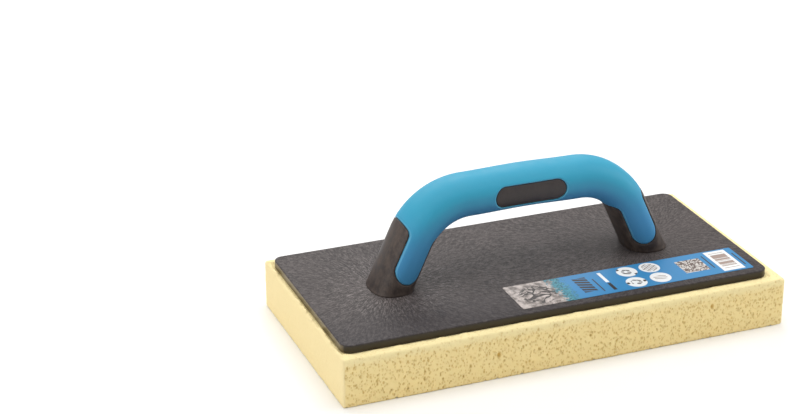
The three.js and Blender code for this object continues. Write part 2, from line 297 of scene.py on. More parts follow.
class Look:
    """A material's node tree, with short ways to add nodes and join them."""

    def __init__(self, name, roughness, **sockets):
        self.material = bpy.data.materials.new(name)
        self.material.use_nodes = True
        self.tree = self.material.node_tree
        self.shader = self.tree.nodes["Principled BSDF"]
        self.shader.inputs["Roughness"].default_value = roughness
        for socket, value in sockets.items():
            self.shader.inputs[socket.replace("_", " ")].default_value = value
        self.place = self.add("ShaderNodeTexCoord").outputs["Object"]

    def add(self, kind, *inputs, **settings):
        """Adds a node. Inputs are (socket, value or output) pairs."""
        node = self.tree.nodes.new(kind)
        for name, value in settings.items():
            setattr(node, name, value)
        for socket, value in inputs:
            if isinstance(value, bpy.types.NodeSocket):
                self.tree.links.new(value, node.inputs[socket])
            else:
                node.inputs[socket].default_value = value
        return node

    def math(self, operation, *values):
        return self.add("ShaderNodeMath", *enumerate(values), operation=operation).outputs[0]

    def vector_math(self, operation, *values, result="Vector"):
        return self.add("ShaderNodeVectorMath", *enumerate(values), operation=operation).outputs[result]

    def parts(self, vector=None):
        """The X, Y and Z of a vector, or of the place."""
        return self.add("ShaderNodeSeparateXYZ", ("Vector", vector or self.place)).outputs

    def attribute(self, name):
        return self.add("ShaderNodeAttribute", attribute_name=name).outputs["Fac"]

    def noise(self, size_mm, detail=3.0, place=None, roughness=0.5, distortion=0.0):
        """Noise from 0 to 1 with features of about that size."""
        node = self.add(
            "ShaderNodeTexNoise",
            ("Vector", place or self.place),
            ("Scale", 1 / (size_mm * MM)),
            ("Detail", detail),
            ("Roughness", roughness),
            ("Distortion", distortion),
        )
        return node.outputs["Fac"]

    def scaled(self, x, y, z, place=None):
        """The place with each axis multiplied."""
        return self.vector_math("MULTIPLY", place or self.place, (x, y, z))

    def steps(self, value, low, high, start=0.0, end=1.0):
        """Carries value from low..high to start..end smoothly, and holds it outside."""
        node = self.add(
            "ShaderNodeMapRange",
            ("Value", value),
            ("From Min", low),
            ("From Max", high),
            ("To Min", start),
            ("To Max", end),
            interpolation_type="SMOOTHSTEP",
        )
        return node.outputs["Result"]

    def mix(self, share, first, second):
        """A colour that far from the first to the second."""
        node = self.add("ShaderNodeMix", data_type="RGBA")
        for index, value in ((0, share), (6, first), (7, second)):
            if isinstance(value, bpy.types.NodeSocket):
                self.tree.links.new(value, node.inputs[index])
            elif index == 0:
                node.inputs[index].default_value = value
            else:
                node.inputs[index].default_value = (*value, 1)
        return node.outputs[2]

    def between(self, share, first, second):
        """A number that far from the first to the second."""
        node = self.add("ShaderNodeMix", (0, share), (2, first), (3, second), data_type="FLOAT")
        return node.outputs[0]

    def colour(self, output):
        self.tree.links.new(output, self.shader.inputs["Base Color"])

    def roughness(self, output):
        self.tree.links.new(output, self.shader.inputs["Roughness"])

    def bump(self, height, depth_mm, strength=1.0, under=None):
        """Bump whose height runs from 0 to 1 over depth_mm."""
        node = self.add(
            "ShaderNodeBump", ("Strength", strength), ("Distance", depth_mm * MM), ("Height", height)
        )
        if under is not None:
            self.tree.links.new(under, node.inputs["Normal"])
        return node.outputs["Normal"]

    def normal(self, output):
        self.tree.links.new(output, self.shader.inputs["Normal"])


def floor_material():
    look = Look("floor_paper", roughness=0.9, Specular_IOR_Level=0.1)
    grain = look.noise(size_mm=40, detail=2)
    look.colour(look.mix(grain, *FLOOR_TONES))
    return look.material


def foam_pore_pattern(look, spacing, size):
    """1 in pores about one spacing apart and 0 between them."""
    cells = look.add(
        "ShaderNodeTexVoronoi",
        ("Vector", look.scaled(1, 1, PORE_FLATTENING)),
        ("Scale", 1 / (spacing * MM)),
        ("Randomness", 1.0),
    )
    extra = look.math("MULTIPLY", look.math("POWER", cells.outputs["Color"], PORE_VARIETY), size)
    reach = look.math("ADD", extra, SMALLEST_PORE)
    return look.steps(look.math("SUBTRACT", reach, cells.outputs["Distance"]), *PORE_EDGE)


def foam_material():
    """Pale open-cell foam: fine pores on the cut faces with painted shade in them, darker painted shade deep
    down in the large ones, a smoother top band with painted light, plain ends.
    """
    look = Look("foam", roughness=0.95, Specular_IOR_Level=0.1)
    pale = look.mix(look.noise(size_mm=14, detail=4), *FOAM_TONES)
    parts = look.parts()
    from_middle = look.math("ABSOLUTE", parts["X"])
    end_face = look.steps(from_middle, *[(PAD_HIGH[0] - inward) * MM for inward in END_FACE_SPAN])
    # The top band: fewer pores, and a lighter colour that is painted light from above
    skin = look.steps(parts["Z"], *[(FOAM_TOP - down) * MM for down in SKIN_AND_TOP_LIGHT_SPAN])
    shown_on_ends = look.steps(end_face, 0, 1, start=1, end=PORES_ON_ENDS)
    shown_on_skin = look.steps(skin, 0, 1, start=1, end=PORES_ON_SKIN)
    small_pores = look.math("MULTIPLY", foam_pore_pattern(look, *SMALL_PORES), SMALL_PORE_STRENGTH)
    pores = look.math("MAXIMUM", foam_pore_pattern(look, *WIDE_PORES), small_pores)
    pores = look.math("MULTIPLY", pores, look.math("MULTIPLY", shown_on_ends, shown_on_skin))
    face = look.mix(end_face, look.mix(skin, pale, FOAM_SKIN_AND_TOP_LIGHT), FOAM_END_FACE)
    # Painted shade in the pattern pores, which also carry a bump
    face = look.mix(pores, face, FOAM_PORE_SHADE)
    # Painted shade: darker the deeper a point lies in a pore
    deep_pore_shade = look.steps(look.attribute("pore_depth"), *DEEP_PORE_SHADE_SPAN)
    look.colour(look.mix(deep_pore_shade, face, FOAM_DEEP_PORE_SHADE))
    rough = look.bump(look.noise(size_mm=0.5, detail=2), depth_mm=0.12, strength=0.4)
    look.normal(look.bump(look.math("SUBTRACT", 1.0, pores), depth_mm=0.5, strength=0.9, under=rough))
    return look.material


def grip_material():
    """Soft-touch blue rubber with a fine moulded grain, and painted light and shade: painted light on the
    upper grip, painted shade on the lower grip and on faces turned down, and a painted highlight along the
    lip.
    """
    look = Look("grip_rubber", roughness=0.6, Specular_IOR_Level=0.4)
    cloud = look.noise(size_mm=25, detail=2)
    # Painted light on the upper grip and painted shade on the lower grip, blended by height
    upper = look.mix(cloud, *GRIP_LIT_UPPER_TONES)
    lower = look.mix(cloud, *GRIP_SHADED_LOWER_TONES)
    rubber = look.mix(look.steps(look.parts()["Z"], *GRIP_SHADE_SPAN), lower, upper)
    facing = look.parts(look.add("ShaderNodeNewGeometry").outputs["Normal"])
    # Painted shade: faces turned down are darker
    underside_shade = look.steps(facing["Z"], *UNDERSIDE_SHADE_SPAN, start=1, end=0)
    rubber = look.mix(underside_shade, rubber, GRIP_UNDERSIDE_SHADE)
    # Painted highlight along the lip, near the grip's borders
    lip_highlight = look.steps(look.attribute("from_border"), *LIP_HIGHLIGHT_SPAN, start=LIP_HIGHLIGHT_STRENGTH, end=0)
    look.colour(look.mix(lip_highlight, rubber, GRIP_LIP_HIGHLIGHT))
    look.roughness(look.steps(look.noise(size_mm=6), low=0.3, high=0.7, start=0.56, end=0.66))
    look.normal(look.bump(look.noise(size_mm=0.45, detail=2), depth_mm=0.04, strength=0.5))
    return look.material


def core_material():
    """Hard dark brown-black plastic with a slightly mottled moulded skin."""
    look = Look("core_plastic", roughness=0.5, Specular_IOR_Level=0.4)
    blotch = look.noise(size_mm=4.5, detail=6, roughness=0.7, place=look.scaled(1, 1, 0.6))
    tone = look.steps(blotch, low=0.35, high=0.7)
    in_window = look.steps(look.parts()["Z"], *WINDOW_SPAN)
    look.colour(look.mix(in_window, look.mix(tone, *CORE_LEG_TONES), look.mix(tone, *CORE_WINDOW_TONES)))
    look.roughness(look.steps(blotch, low=0.3, high=0.7, start=0.42, end=0.6))
    look.normal(look.bump(look.noise(size_mm=0.7), depth_mm=0.08, strength=0.6))
    return look.material


def flow_lines(look, foot_x):
    """Streaks that run straight out from a foot: (streaks from 0 to 1, distance from the foot)."""
    flat = look.scaled(1, 1, 0)
    shifted = look.vector_math("ADD", flat, (-foot_x * MM, 0, 0))
    reach = look.vector_math("LENGTH", shifted, result="Value")
    way = look.parts(look.vector_math("NORMALIZE", shifted))
    around = look.add(
        "ShaderNodeCombineXYZ",
        ("X", look.math("MULTIPLY", way["X"], FLOW_WIDTH)),
        ("Y", look.math("MULTIPLY", way["Y"], FLOW_WIDTH)),
        ("Z", reach),
    ).outputs[0]
    wander = 1 / (FLOW_WAVER_SIZE * MM)
    bent = look.add("ShaderNodeTexNoise", ("Vector", flat), ("Scale", wander), ("Detail", 2.0))
    push = look.vector_math("MULTIPLY", bent.outputs["Color"], FLOW_WAVER)
    around = look.scaled(1, 1, 0.7, place=look.vector_math("ADD", around, push))
    return look.noise(size_mm=2.4, detail=6, place=around, roughness=0.8), reach


def foot_marks(look, streaks, reach, span, low, high, strength):
    """The palest streaks near a foot. They fade out over the span."""
    fade = look.steps(reach, *span, start=strength, end=0)
    return look.math("MULTIPLY", look.steps(streaks, low, high), fade)


def plate_material():
    """Dark grey moulded plastic with flow marks that run out from the feet, palest beside the left foot,
    with painted shade towards the front of the top and painted light on the left end.
    """
    look = Look("plate_plastic", roughness=0.6, Specular_IOR_Level=0.4)
    left, left_reach = flow_lines(look, PLATE_CENTRE_X - FOOT_X)
    right, right_reach = flow_lines(look, PLATE_CENTRE_X + FOOT_X)
    to_right = look.steps(look.math("SUBTRACT", left_reach, right_reach), *FLOW_CHANGEOVER)
    flow = look.between(to_right, left, right)
    cloud = look.noise(size_mm=26, detail=4)
    speck = look.noise(size_mm=1.1, detail=4, roughness=0.7)
    parts = look.parts()
    top = look.mix(look.steps(cloud, low=0.3, high=0.7), *PLATE_TONES)
    top = look.mix(look.steps(flow, low=0.40, high=0.72), top, PLATE_STREAK)
    top = look.mix(look.steps(speck, low=0.42, high=0.72, end=0.7), top, PLATE_SPECK)
    by_left = foot_marks(look, left, left_reach, LEFT_MARK_SPAN, low=0.50, high=0.66, strength=1)
    by_right = foot_marks(look, right, right_reach, RIGHT_MARK_SPAN, low=0.56, high=0.74, strength=0.5)
    top = look.mix(look.math("MAXIMUM", by_left, by_right), top, PLATE_FLOW_MARK)
    # Painted shade: the top darker towards its front edge
    top = look.mix(look.steps(parts["Y"], *PLATE_FRONT_SHADE_SPAN, start=0.45, end=0), top, PLATE_FRONT_SHADE)
    on_top = look.steps(parts["Z"], *[(PLATE_TOP - down) * MM for down in PLATE_TOP_SPAN])
    inward = [(PLATE_LOW[0] + inward) * MM for inward in PLATE_LEFT_LIGHT_SPAN]
    # Painted light on the left end's side face
    left_end_light = look.steps(parts["X"], *inward, start=1, end=0)
    side = look.mix(left_end_light, look.mix(cloud, *PLATE_SIDE_TONES), PLATE_LEFT_SIDE_LIGHT)
    look.colour(look.mix(on_top, side, top))
    look.roughness(look.between(on_top, 0.3, look.steps(flow, low=0.3, high=0.75, start=0.74, end=0.60)))
    skin = look.bump(speck, depth_mm=0.04, strength=0.6)
    look.normal(look.bump(flow, depth_mm=0.05, strength=0.5, under=skin))
    return look.material


def screw_material():
    """Bright zinc-plated steel with turned marks."""
    look = Look("screw_steel", roughness=0.32, Metallic=1.0)
    marks = look.noise(size_mm=0.4, place=look.scaled(1, 1, 6))
    look.colour(look.mix(marks, *STEEL_TONES))
    look.roughness(look.steps(marks, low=0.3, high=0.7, start=0.26, end=0.42))
    look.normal(look.bump(marks, depth_mm=0.02, strength=0.5))
    return look.material


def hook_material():
    look = Look("hook_plastic", roughness=0.6, Specular_IOR_Level=0.4)
    dots = look.noise(size_mm=0.8, detail=2)
    look.colour(look.mix(dots, *HOOK_TONES))
    look.normal(look.bump(dots, depth_mm=0.2, strength=0.8))
    return look.material


def loop_material():
    look = Look("loop_cloth", roughness=0.95, Specular_IOR_Level=0.1, Sheen_Weight=0.3)
    fibres = look.noise(size_mm=0.5, detail=4, roughness=0.7, distortion=1.5)
    look.colour(look.mix(fibres, *LOOP_TONES))
    look.normal(look.bump(fibres, depth_mm=0.35, strength=0.9))
    return look.material


# ---------- label

# Marks, in millimetres from the label's lower left corner. A rectangle is its centre, then its size.
PICTURE_EDGE = (27, 30)
SPLASH_EDGE = (34, 38)
RAGGEDNESS = 22.0
SCRIBBLE_CENTRE = (16, 14)
SCRIBBLE_RADIUS = 11.5
BLOCK = ((46.5, 15.5), (8.5, 19))
DARK_LINES = [
    ((54.0, 12.5), (0.9, 17)),
    ((60.8, 8.0), (2.2, 9.5)),
    ((148.6, 14), (0.9, 17)),
    ((129.0, 16.5), (0.9, 17)),
]
PALE_LINE = ((60.8, 20.5), (2.2, 13))
ICON_RADIUS = 6.4
ICONS = [(77.5, 22.3), (92.7, 22.6), (76.6, 7.9), (92.7, 8.3)]
NOTCHES = [
    ((72.9, 26.3), (2.0, 2.0)),
    ((81.7, 17.9), (2.0, 2.0)),
    ((71.2, 7.9), (1.8, 2.2)),
    ((82.0, 7.9), (1.8, 2.2)),
]
BUSY_RADIUS = 3.4
HATCH_RADIUS = 4.8
WAVES_SIZE = (8, 5)
SQUARE_CODE = ((117.8, 15.4), (16.2, 16.2))
SQUARE_CODE_CELL = 0.9
BAR_CODE_PAPER = ((139.2, 15.2), (14.2, 27))
BAR_CODE = ((139.2, 15.2), (10.0, 22.5))
BAR_CODE_CELL = (40.0, 0.55)


class Print:
    """Flat marks on the label, placed in millimetres from its lower left corner."""

    def __init__(self, look):
        self.look = look
        self.math = look.math
        parts = look.parts(look.scaled(1 / MM, 1 / MM, 1 / MM))
        self.u = look.math("SUBTRACT", parts["X"], LABEL_LOW[0])
        self.v = look.math("SUBTRACT", parts["Y"], LABEL_LOW[1])

    def from_centre(self, centre):
        """Distances from a centre along and across the label."""
        steps = [self.math("SUBTRACT", value, c) for value, c in zip((self.u, self.v), centre)]
        return [self.math("ABSOLUTE", step) for step in steps]

    def bar(self, centre, size, soft=0.15):
        """1 inside an upright rectangle."""
        sides = [
            self.math("SUBTRACT", offset, width / 2)
            for offset, width in zip(self.from_centre(centre), size)
        ]
        return self.look.steps(self.math("MAXIMUM", *sides), -soft, soft, start=1, end=0)

    def disc(self, centre, radius, soft=0.15):
        """1 inside a circle."""
        squares = [self.math("POWER", offset, 2.0) for offset in self.from_centre(centre)]
        reach = self.math("SQRT", self.math("ADD", *squares))
        return self.look.steps(reach, radius - soft, radius + soft, start=1, end=0)

    def stripes(self, across, along, pitch, share=0.5):
        """Slanted stripes: 1 on a stripe."""
        slant = self.math(
            "ADD", self.math("MULTIPLY", self.u, across), self.math("MULTIPLY", self.v, along)
        )
        phase = self.math("FRACT", self.math("DIVIDE", slant, pitch))
        return self.math("LESS_THAN", phase, share)

    def cells(self, size_u, size_v, share=0.5):
        """Random light and dark cells: 1 in a dark one."""
        corner = self.look.add(
            "ShaderNodeCombineXYZ",
            ("X", self.math("FLOOR", self.math("DIVIDE", self.u, size_u))),
            ("Y", self.math("FLOOR", self.math("DIVIDE", self.v, size_v))),
        ).outputs[0]
        chance = self.look.add("ShaderNodeTexWhiteNoise", ("Vector", corner)).outputs["Value"]
        return self.math("LESS_THAN", chance, share)

    def both(self, *masks):
        """1 where all the masks are."""
        return functools.reduce(lambda a, b: self.math("MULTIPLY", a, b), masks)

    def either(self, *masks):
        """1 where any of the masks is."""
        return functools.reduce(lambda a, b: self.math("MAXIMUM", a, b), masks)


def stone_picture(look, mark):
    """The left end's picture patch: pale stone with dark scribbles and specks."""
    stone = look.mix(look.steps(look.noise(size_mm=4, detail=5), low=0.3, high=0.7), *STONE_TONES)
    bent = look.noise(size_mm=9, detail=1.0, distortion=1.6)
    from_line = look.math("ABSOLUTE", look.math("SUBTRACT", bent, 0.5))
    near_middle = mark.disc(SCRIBBLE_CENTRE, SCRIBBLE_RADIUS, soft=2.0)
    scribble = mark.both(look.steps(from_line, low=0.04, high=0.065, start=1, end=0), near_middle)
    specks = look.steps(look.noise(size_mm=1.3, detail=2), low=0.62, high=0.68)
    patches = look.steps(look.noise(size_mm=9), low=0.3, high=0.6, start=0.3, end=0.9)
    dark = mark.either(scribble, mark.both(specks, patches))
    return look.mix(dark, stone, STONE_DARK)


def add_icons(look, mark, colour):
    """Four round pictograms with plain generic marks."""
    first, second, third, fourth = ICONS
    discs = mark.either(*[mark.disc(place, ICON_RADIUS) for place in ICONS])
    colour = look.mix(discs, colour, PAPER)
    broken = mark.cells(1.9, 2.4, share=0.75)
    bars = mark.both(mark.stripes(across=0.5, along=1.0, pitch=2.4, share=0.55), broken)
    middles = mark.either(mark.disc(first, BUSY_RADIUS), mark.disc(third, BUSY_RADIUS))
    notches = mark.either(*[mark.bar(*notch) for notch in NOTCHES])
    busy = mark.both(mark.either(mark.both(bars, middles), notches), discs)
    colour = look.mix(busy, colour, INK)
    crossed = mark.either(
        mark.stripes(across=1, along=0.8, pitch=2.4, share=0.3),
        mark.stripes(across=-0.7, along=1, pitch=3.4, share=0.2),
    )
    hatch = mark.both(crossed, mark.disc(second, HATCH_RADIUS))
    waves = mark.both(mark.stripes(across=0.3, along=1, pitch=2.0, share=0.35), mark.bar(fourth, WAVES_SIZE))
    return look.mix(mark.either(hatch, waves), colour, SOFT_INK)


def add_codes(look, mark, colour):
    """A square of random cells, and random lines on paper."""
    square = mark.bar(*SQUARE_CODE)
    paper, ink = SQUARE_CODE_TONES
    colour = look.mix(square, colour, paper)
    cells = mark.cells(SQUARE_CODE_CELL, SQUARE_CODE_CELL, share=0.52)
    colour = look.mix(mark.both(square, cells), colour, ink)
    colour = look.mix(mark.bar(*BAR_CODE_PAPER), colour, PAPER)
    ruled = mark.both(mark.bar(*BAR_CODE), mark.cells(*BAR_CODE_CELL))
    return look.mix(ruled, colour, BAR_CODE_INK)


def film_material():
    """Printed film: generic picture patch, blocks, pictograms and bars. No lettering."""
    look = Look("label_film", roughness=0.5, Specular_IOR_Level=0.35)
    mark = Print(look)
    blue = look.mix(look.noise(size_mm=12, detail=2), LABEL_BLUE, LABEL_BLUE_PALER)
    uneven = look.math("SUBTRACT", look.noise(size_mm=2.6, detail=5, roughness=0.7), 0.5)
    border = look.math("ADD", mark.u, look.math("MULTIPLY", uneven, RAGGEDNESS))
    splash = look.mix(look.steps(look.noise(size_mm=1.2), low=0.4, high=0.6), *SPLASH_TONES)
    colour = look.mix(look.steps(border, *SPLASH_EDGE), splash, blue)
    colour = look.mix(look.steps(border, *PICTURE_EDGE), stone_picture(look, mark), colour)
    block = mark.both(mark.bar(*BLOCK), mark.stripes(across=0.35, along=1.0, pitch=3.4, share=0.72))
    lines = mark.either(*[mark.bar(*line) for line in DARK_LINES])
    colour = look.mix(mark.either(block, lines), colour, INK)
    colour = look.mix(mark.bar(*PALE_LINE), colour, PAPER)
    colour = add_icons(look, mark, colour)
    look.colour(add_codes(look, mark, colour))
    look.normal(look.bump(look.noise(size_mm=9, detail=2), depth_mm=0.03, strength=0.3))
    return look.material


# ---------- shapes grown from distance fields

def round_join(first, second, radius):
    """Both shapes together, with a fillet where they meet."""
    corner = np.hypot(np.maximum(radius - first, 0), np.maximum(radius - second, 0))
    return np.maximum(radius, np.minimum(first, second)) - corner


def round_overlap(first, second, radius):
    """Only where both shapes are, with a rounded edge where they meet."""
    corner = np.hypot(np.maximum(radius + first, 0), np.maximum(radius + second, 0))
    return np.minimum(-radius, np.maximum(first, second)) + corner


def eased(share):
    """A share from 0 to 1, eased in and out."""
    return share * share * (3 - 2 * share)


def grid(low, high, cell):
    """Coordinates of a grid, as three arrays that broadcast against each other."""
    axes = [np.arange(a, b + cell, cell, dtype=np.float32) for a, b in zip(low, high)]
    return axes[0][:, None, None], axes[1][None, :, None], axes[2][None, None, :]


def along_axis(axis, amount):
    step = np.zeros(3, int)
    step[axis] = amount
    return step


def net_points(field, cells):
    """One point for each cell that the surface crosses: the mean of where it cuts the cell's edges."""
    total = np.zeros((len(cells), 3))
    cuts = np.zeros(len(cells))
    for axis in range(3):
        u, w = (axis + 1) % 3, (axis + 2) % 3
        for start in (along_axis(u, i) + along_axis(w, j) for i in (0, 1) for j in (0, 1)):
            step = along_axis(axis, 1)
            near = field[tuple((cells + start).T)]
            far = field[tuple((cells + start + step).T)]
            crossed = (near < 0) != (far < 0)
            share = np.where(crossed, near / np.where(crossed, near - far, 1), 0)
            total += crossed[:, None] * (start + step * share[:, None])
            cuts += crossed
    return cells + total / cuts[:, None]


def net_faces(inside, number):
    """A quad round each grid edge that the surface crosses, facing out."""
    faces = []
    for axis in range(3):
        u, w = (axis + 1) % 3, (axis + 2) % 3
        near = [slice(1, -1)] * 3
        far = [slice(1, -1)] * 3
        near[axis], far[axis] = slice(None, -1), slice(1, None)
        near, far = inside[tuple(near)], inside[tuple(far)]
        shift = along_axis(u, 1) + along_axis(w, 1)
        rounds = [(1, 1), (0, 1), (0, 0), (1, 0)]
        for crossed, order in ((near & ~far, rounds), (far & ~near, rounds[::-1])):
            edges = np.argwhere(crossed) + shift
            cells = [edges - along_axis(u, i) - along_axis(w, j) for i, j in order]
            faces.append(np.stack([number[tuple(c.T)] for c in cells], axis=1))
    return np.concatenate(faces)


def surface_net(field, low, cell):
    """Points and quads of the field's zero surface. The field is negative inside."""
    inside = field < 0
    corners = np.zeros([n - 1 for n in field.shape], np.uint8)
    for i in (0, 1):
        for j in (0, 1):
            for k in (0, 1):
                corners += inside[i:i + corners.shape[0], j:j + corners.shape[1], k:k + corners.shape[2]]
    active = (corners > 0) & (corners < 8)
    cells = np.argwhere(active)
    number = np.full(active.shape, -1, np.int32)
    number[active] = np.arange(len(cells))
    return np.array(low) + net_points(field, cells) * cell, net_faces(inside, number)


def gradient(shape, points, step=SLOPE_STEP):
    """The shape's distance at the points, and its slope there."""
    value = shape(*points.T)
    slope = np.stack(
        [(shape(*(points + step * along_axis(axis, 1)).T) - value) / step for axis in range(3)], axis=1
    )
    return value, slope


def settled(shape, points, cell):
    """Points moved onto the shape's exact surface."""
    for _ in range(SETTLE_STEPS):
        value, slope = gradient(shape, points)
        move = value / np.maximum((slope ** 2).sum(1), LEAST_SLOPE)
        points = points - np.clip(move, -cell, cell)[:, None] * slope
    return points


def mesh_from(name, points, faces):
    """A mesh, in metres, from points in millimetres and faces of four corners."""
    mesh = bpy.data.meshes.new(name)
    mesh.vertices.add(len(points))
    mesh.vertices.foreach_set("co", (points * MM).astype(np.float32).ravel())
    mesh.loops.add(faces.size)
    mesh.loops.foreach_set("vertex_index", faces.astype(np.int32).ravel())
    mesh.polygons.add(len(faces))
    mesh.polygons.foreach_set("loop_start", np.arange(0, faces.size, faces.shape[1], dtype=np.int32))
    mesh.polygons.foreach_set("use_smooth", np.ones(len(faces), bool))
    mesh.update(calc_edges=True)
    return mesh


def store(mesh, name, values):
    """Keeps one number for each point of the mesh, for its material."""
    attribute = mesh.attributes.new(name, "FLOAT", "POINT")
    attribute.data.foreach_set("value", values.astype(np.float32))


def piece(name, mesh, material, body, slot, *replaced):
    """Puts a finished mesh in the scene as a piece that rides on a body."""
    mesh.materials.clear()
    mesh.materials.append(material)
    made = bpy.data.objects.new(name, mesh)
    bpy.context.scene.collection.objects.link(made)
    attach(made, body)
    if replaced:
        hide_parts(*replaced)
    return made


def thinned(mesh, triangles):
    """The mesh with flat stretches merged until it has about that many triangles."""
    carrier = bpy.data.objects.new("carrier", mesh)
    bpy.context.scene.collection.objects.link(carrier)
    thin = carrier.modifiers.new("thin", "DECIMATE")
    thin.ratio = min(1.0, triangles / (2 * len(mesh.polygons)))
    evaluated = carrier.evaluated_get(bpy.context.evaluated_depsgraph_get())
    made = bpy.data.meshes.new_from_object(evaluated)
    made.name = mesh.name
    bpy.data.objects.remove(carrier)
    made.polygons.foreach_set("use_smooth", np.ones(len(made.polygons), bool))
    return made


# ---------- handle

def section_distance(across, y, half_thick, half_wide):
    """Distance to a superellipse, near its edge."""
    u = np.abs(across) / half_thick
    v = np.abs(y) / half_wide
    level = (u ** SECTION_POWER + v ** SECTION_POWER) ** (1 / SECTION_POWER) + TINY
    sharp = SECTION_POWER - 1
    slope = np.hypot((u / level) ** sharp / half_thick, (v / level) ** sharp / half_wide)
    return (level - 1) / slope


def leg_place(x, z):
    """Distance up the nearer leg's axis and outward offset from it. z is from the plate's top."""
    out = np.abs(x) - FOOT_X
    along = np.cos(LEAN) * z - np.sin(LEAN) * out
    across = np.cos(LEAN) * out + np.sin(LEAN) * z
    return along, across


def arch(x):
    """How far the bar's axis rises at x."""
    share = np.clip(np.abs(x) / BEND_X, 0, 1)
    return BAR_ARCH * (1 + np.cos(np.pi * share)) / 2


def swept_distance(x, y, z, inset):
    """Distance to the D-shaped sweep, drawn in by the inset."""
    raised = z - arch(x)
    beside = np.abs(x) - BEND_X
    above = raised - BEND_Z
    turn = np.arctan2(above, beside)
    share = np.clip((turn - LEAN) / (np.pi / 2 - LEAN), 0, 1)
    on_leg = (turn < LEAN) & (beside > 0)
    across = np.where(beside > 0, np.hypot(beside, above) - BEND_RADIUS, raised - BAR_RISE)
    across = np.where(on_leg, leg_place(x, z)[1], across)
    slim = np.where(on_leg, 0, eased(share))
    half_thick = LEG_HALF_THICK + (BAR_HALF_THICK - LEG_HALF_THICK) * slim
    half_wide = LEG_HALF_WIDE + (BAR_HALF_WIDE - LEG_HALF_WIDE) * slim
    return section_distance(across, y, half_thick - inset, half_wide - inset)


def grip_border(x, z):
    """Distance to the outline that the soft grip covers, seen from the front. Negative inside."""
    along, across = leg_place(x, z)
    share = np.clip(across / (2 * LEG_HALF_THICK) + 0.5, 0, 1)
    collar = COLLAR_INNER + (COLLAR_OUTER - COLLAR_INNER) * share - along
    tongue = np.hypot(across, np.minimum(along - TONGUE_END, 0)) - TONGUE_HALF
    fillet = np.where(across > 0, FILLET_OUTER, FILLET_INNER)
    return round_join(collar, tongue, fillet)


def window_border(x, z):
    """Distance to the stadium-shaped window, seen from the front."""
    straight = WINDOW_HALF_LENGTH - WINDOW_HALF_HEIGHT
    beyond = np.maximum(np.abs(x - WINDOW_SHIFT) - straight, 0)
    return np.hypot(beyond, z - WINDOW_RISE) - WINDOW_HALF_HEIGHT


def grip_shape(x, y, z):
    """Distance to the soft grip: a shell inside its outline, open at the windows."""
    skin = round_overlap(swept_distance(x, y, z, 0), grip_border(x, z), GRIP_EDGE)
    skin = round_overlap(skin, -window_border(x, z), GRIP_EDGE)
    return np.maximum(skin, -swept_distance(x, y, z, GRIP_WALL))


def core_shape(x, y, z):
    """Distance to the hard core: legs, the lands in the windows and the spine under the grip."""
    flare = FOOT_FLARE * np.clip(1 - z / FLARE_HEIGHT, 0, 1) ** 2
    outside = swept_distance(x, y, z, 0)
    legs = round_overlap(outside - flare, CLEARANCE - grip_border(x, z), CORE_EDGE)
    land = round_overlap(outside + WINDOW_DROP, window_border(x, z) + CLEARANCE, CORE_EDGE)
    spine = swept_distance(x, y, z, GRIP_WALL + CLEARANCE)
    whole = np.minimum(np.minimum(legs, land), spine)
    bore = np.hypot(np.abs(x) - SCREW_X, np.abs(y) - SCREW_Y) - BORE_RADIUS
    bore = np.maximum(bore, z - BORE_DEPTH)
    return np.maximum(round_overlap(whole, -z, FOOT_EDGE), -bore)


def grown(name, shape, *borders):
    """A mesh of a handle shape, moved to its place on the plate. Its points know how far the borders are."""
    cell = HANDLE_CELL
    margin = MARGIN_CELLS * cell
    spread = FOOT_X + LEG_HALF_THICK / math.cos(LEAN) + FOOT_FLARE + margin
    wide = LEG_HALF_WIDE + FOOT_FLARE + margin
    low = (-spread, -wide, -BELOW_CELLS * cell)
    high = (spread, wide, BAR_RISE + BAR_ARCH + BAR_HALF_THICK + margin)
    points, faces = surface_net(shape(*grid(low, high, cell)), low, cell)
    points = settled(shape, points, cell)
    points[:, 2] = np.maximum(points[:, 2], 0)
    mesh = mesh_from(name, points + np.array([PLATE_CENTRE_X, 0, PLATE_TOP]), faces)
    if borders:
        nearest = np.min([np.abs(border(points[:, 0], points[:, 2])) for border in borders], axis=0)
        store(mesh, "from_border", nearest)
    return mesh


def add_handle():
    grip = grown("soft_grip", grip_shape, grip_border, window_border)
    piece("soft_grip", grip, grip_material(), "float", "grip_rubber", "grip_sleeve")
    core = grown("hard_core", core_shape)
    piece("hard_core", core, core_material(), "float", "core_plastic", "handle_core")


# ---------- foam pad

FOAM_TO_PLATE = 0.12
FOAM_TO_LOOP = 0.1
FOAM_TOP = PLATE_LOW[2] - FOAM_TO_PLATE
PRESSED_TOP = PAD_HIGH[2] - FOAM_TO_LOOP
FOAM_SIDE_EDGE = 1.6
FOAM_TOP_EDGE = 1.6
FOAM_BOTTOM_EDGE = 1.0
HOLLOW_MARGIN = 0.4
RIM_GAP = 0.35
RIM_HEIGHT = 0.7
RIM_RANGE = (0.05, 2.2)
RIM_ROOM = 2
RIM_FADE_START = 1.5
RIM_FADE_END = 4.5
LUMPS = 0.35
LEFT_END_LUMPS = 0.75
LEFT_END_REACH = 2
UNEVENNESS = 0.10
FLAT_MARGIN = 0.3

# Pores on each face: how many, smallest radius, spread of radii, share of large ones, upright stretch,
# and the least depth of a centre in radii, where a depth below zero is outside the foam
WORKING_FACE_PORES = (5800, 0.45, 0.45, 0.03, 1.0, -0.35)
LONG_FACE_PORES = (1900, 0.44, 0.34, 0.003, 1.5, -0.58)
END_FACE_PORES = (160, 0.40, 0.15, 0.0, 1.4, -0.6)
LARGE_PORE_EXTRA = 1.0
PORE_DEPTH_SPREAD = 0.8
PORE_SEED = 7


